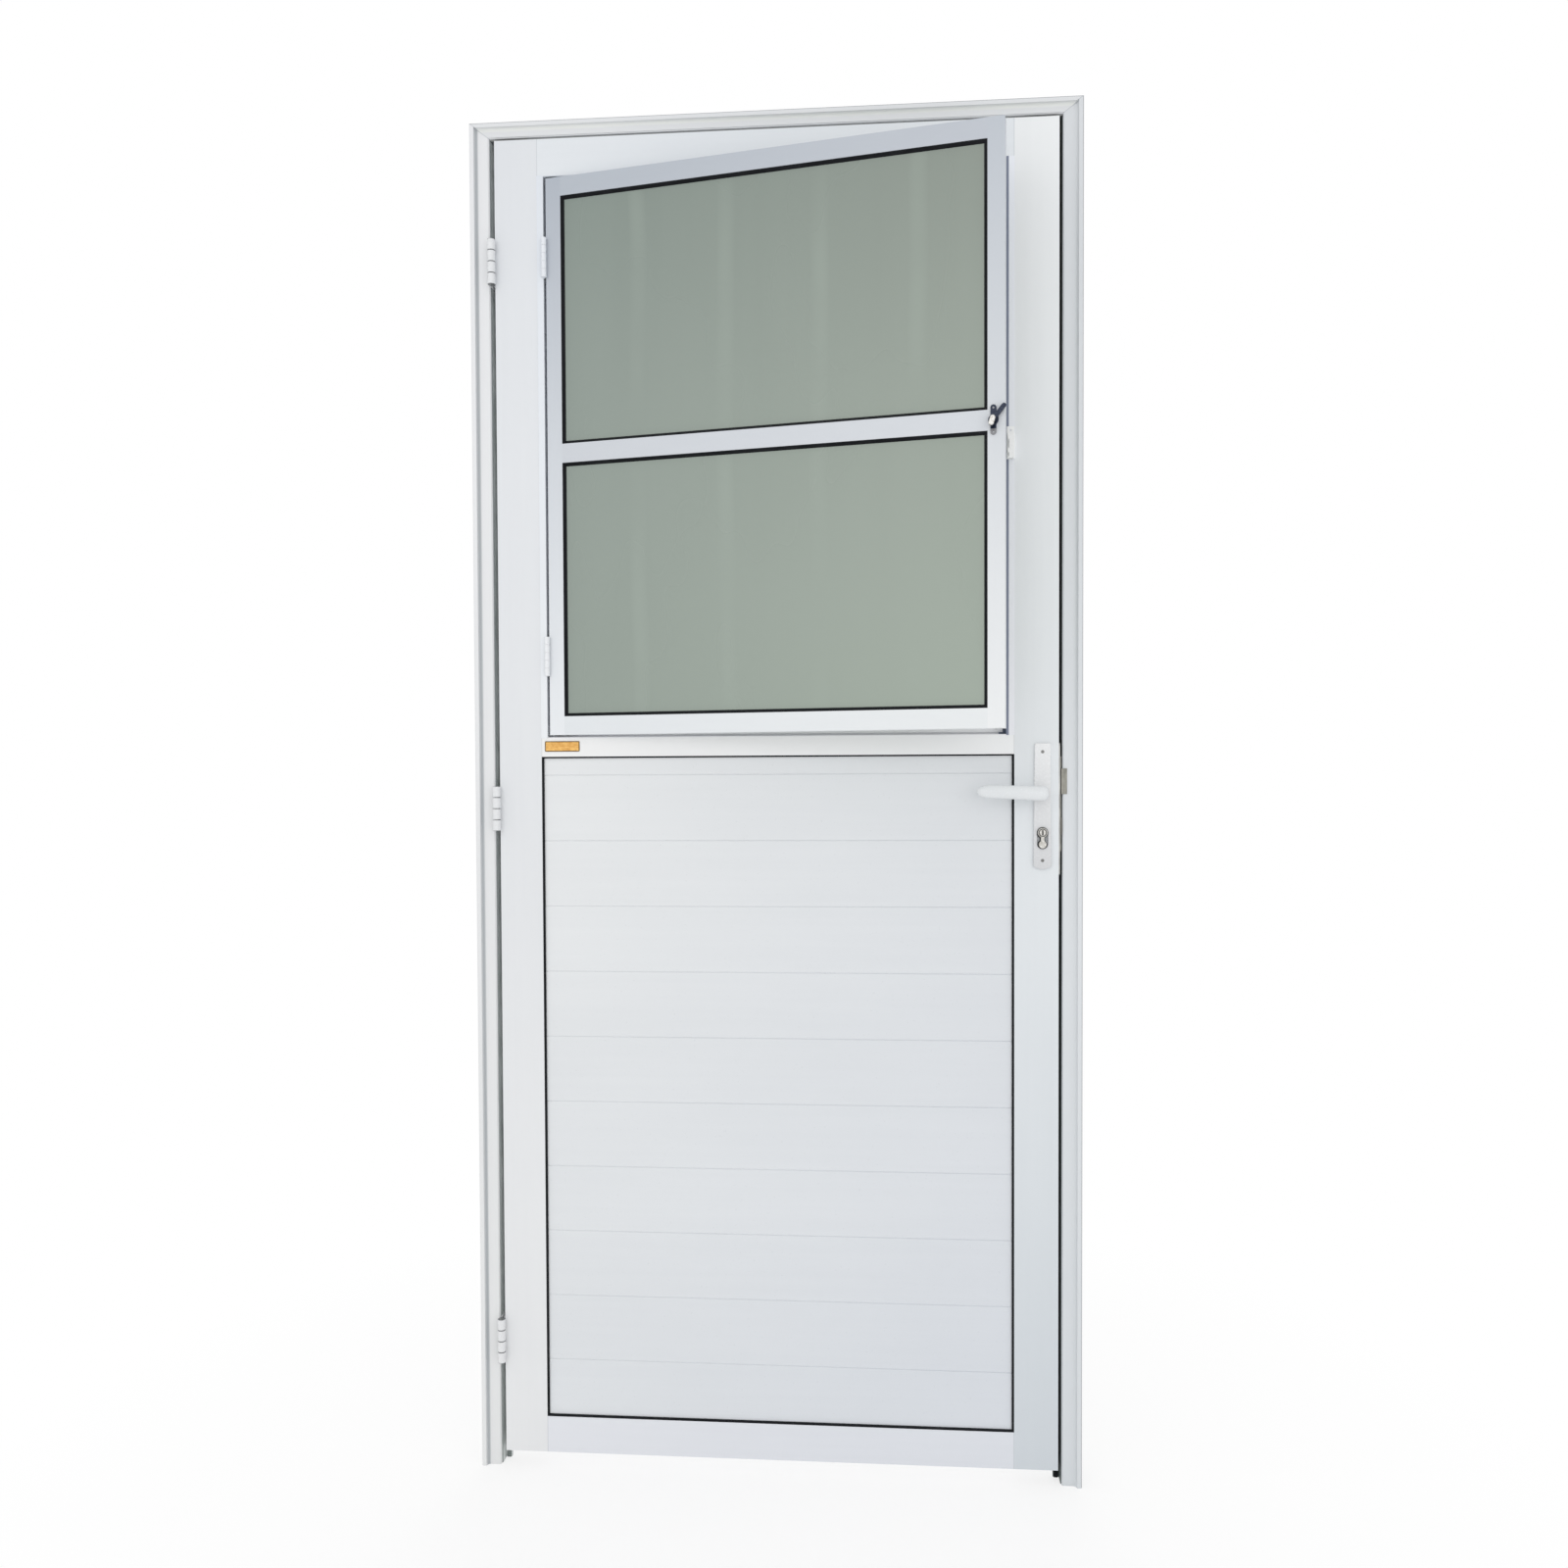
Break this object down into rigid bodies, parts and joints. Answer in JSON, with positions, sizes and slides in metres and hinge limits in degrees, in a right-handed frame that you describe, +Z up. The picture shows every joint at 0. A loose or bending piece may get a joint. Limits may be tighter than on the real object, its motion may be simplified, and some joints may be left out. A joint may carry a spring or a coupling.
{
  "type": "door with frame",
  "caption": "White aluminium entrance door in its moulded frame: planked lower panel, side-hung glazed hatch above, lever lock, butt hinges and strike",
  "frame": {"origin": "middle of the opening at floor level, in the plane of the wall face, between the feet of the jambs", "axes": "+X runs along the wall from the hinge side to the lock side, +Y runs into the wall, +Z up; the trimmed face looks along -Y"},
  "size_m": [0.942, 0.2107, 2.1134],
  "materials": {
    "white_paint": "white semi-gloss paint",
    "hardware_white": "white painted handle and hinges",
    "bright_steel": "plain steel",
    "dull_steel": "dulled steel",
    "nickel": "nickel plated",
    "black_rubber": "black rubber",
    "glass": "grey-green glass",
    "cast_alu": "mill finish"
  },
  "bodies": {
    "frame": {"hinge_jamb": "white_paint", "lock_jamb": "white_paint", "head_jamb": "white_paint", "hinge_trim": "white_paint", "lock_trim": "white_paint", "head_trim": "white_paint", "frame_seals": "black_rubber", "frame_corner_cleats": "cast_alu", "strike_plate": "dull_steel", "frame_hinge_leaves": "hardware_white", "door_hinge_pins": "bright_steel", "frame_screws": "bright_steel"},
    "leaf": {"hinge_stile": "white_paint", "lock_stile": "white_paint", "top_rail": "white_paint", "mid_rail": "white_paint", "bottom_rail": "white_paint", "plank_01": "white_paint", "plank_02": "white_paint", "plank_03": "white_paint", "plank_04": "white_paint", "plank_05": "white_paint", "plank_06": "white_paint", "plank_07": "white_paint", "plank_08": "white_paint", "plank_09": "white_paint", "plank_10": "white_paint", "plank_11": "white_paint", "panel_gaskets": "black_rubber", "leaf_hinge_leaves": "hardware_white", "leaf_screws": "bright_steel", "rail_tie_screws": "bright_steel", "lock_case": "bright_steel", "front_plate": "hardware_white", "back_plate": "hardware_white", "plate_screws": "bright_steel", "cylinder_body": "nickel", "hatch_frame_hinge_side": "white_paint", "hatch_frame_lock_side": "white_paint", "hatch_frame_cross_members": "white_paint", "hatch_frame_seals": "black_rubber", "hatch_hinge_frame_leaves": "hardware_white", "hatch_keeper": "hardware_white"},
    "hatch": {"hatch_hinge_stile": "white_paint", "hatch_lock_stile": "white_paint", "hatch_top_rail": "white_paint", "hatch_bar": "white_paint", "hatch_bottom_rail": "white_paint", "upper_pane": "glass", "lower_pane": "glass", "pane_gaskets": "black_rubber", "hatch_hinge_sash_leaves": "hardware_white", "hatch_latch_base": "dull_steel"},
    "lever_set": {"front_lever": "hardware_white", "back_lever": "hardware_white", "spindle": "bright_steel"},
    "latch_bolt": {"latch_bolt": "bright_steel"},
    "deadbolt": {"deadbolt": "bright_steel"},
    "cylinder_plug": {"cylinder_plug": "nickel"},
    "hatch_latch": {"hatch_latch_turn": "dull_steel"}
  },
  "joints": [
    {"name": "leaf_swing", "type": "hinge", "parent": "frame", "child": "leaf", "pos_m": [-0.43615, -0.0148, 1.05], "axis": [0, 0, -1], "range_deg": [0, 170]},
    {"name": "hatch_swing", "type": "hinge", "parent": "leaf", "child": "hatch", "pos_m": [-0.3536, -0.0134, 1.594], "axis": [0, 0, -1], "range_deg": [-10.5, 99.5]},
    {"name": "lever_turn", "type": "hinge", "parent": "leaf", "child": "lever_set", "pos_m": [0.4105, 0.0045, 1.069], "axis": [0, -1, 0], "range_deg": [0, 40], "stiffness_Nm_per_rad": 0.6, "springref_deg": -34.38},
    {"name": "latch_slide", "type": "slide", "parent": "leaf", "child": "latch_bolt", "axis": [-1, 0, 0], "range_m": [0, 0.0087]},
    {"name": "key_turn", "type": "hinge", "parent": "leaf", "child": "cylinder_plug", "pos_m": [0.4105, 0.0045, 1.009], "axis": [0, -1, 0], "range_deg": [0, 180]},
    {"name": "deadbolt_slide", "type": "slide", "parent": "leaf", "child": "deadbolt", "axis": [1, 0, 0], "range_m": [0, 0.0094]},
    {"name": "hatch_latch_turn", "type": "hinge", "parent": "hatch", "child": "hatch_latch", "pos_m": [0.32624, -0.13493, 1.5998], "axis": [-0.1822, -0.9833, 0], "range_deg": [-50, 20]}
  ],
  "couplings": [
    {"joint": "latch_slide", "follows": "lever_turn", "m_per_rad": 0.0124},
    {"joint": "key_turn", "follows": "deadbolt_slide", "rad_per_m": 333.33}
  ]
}
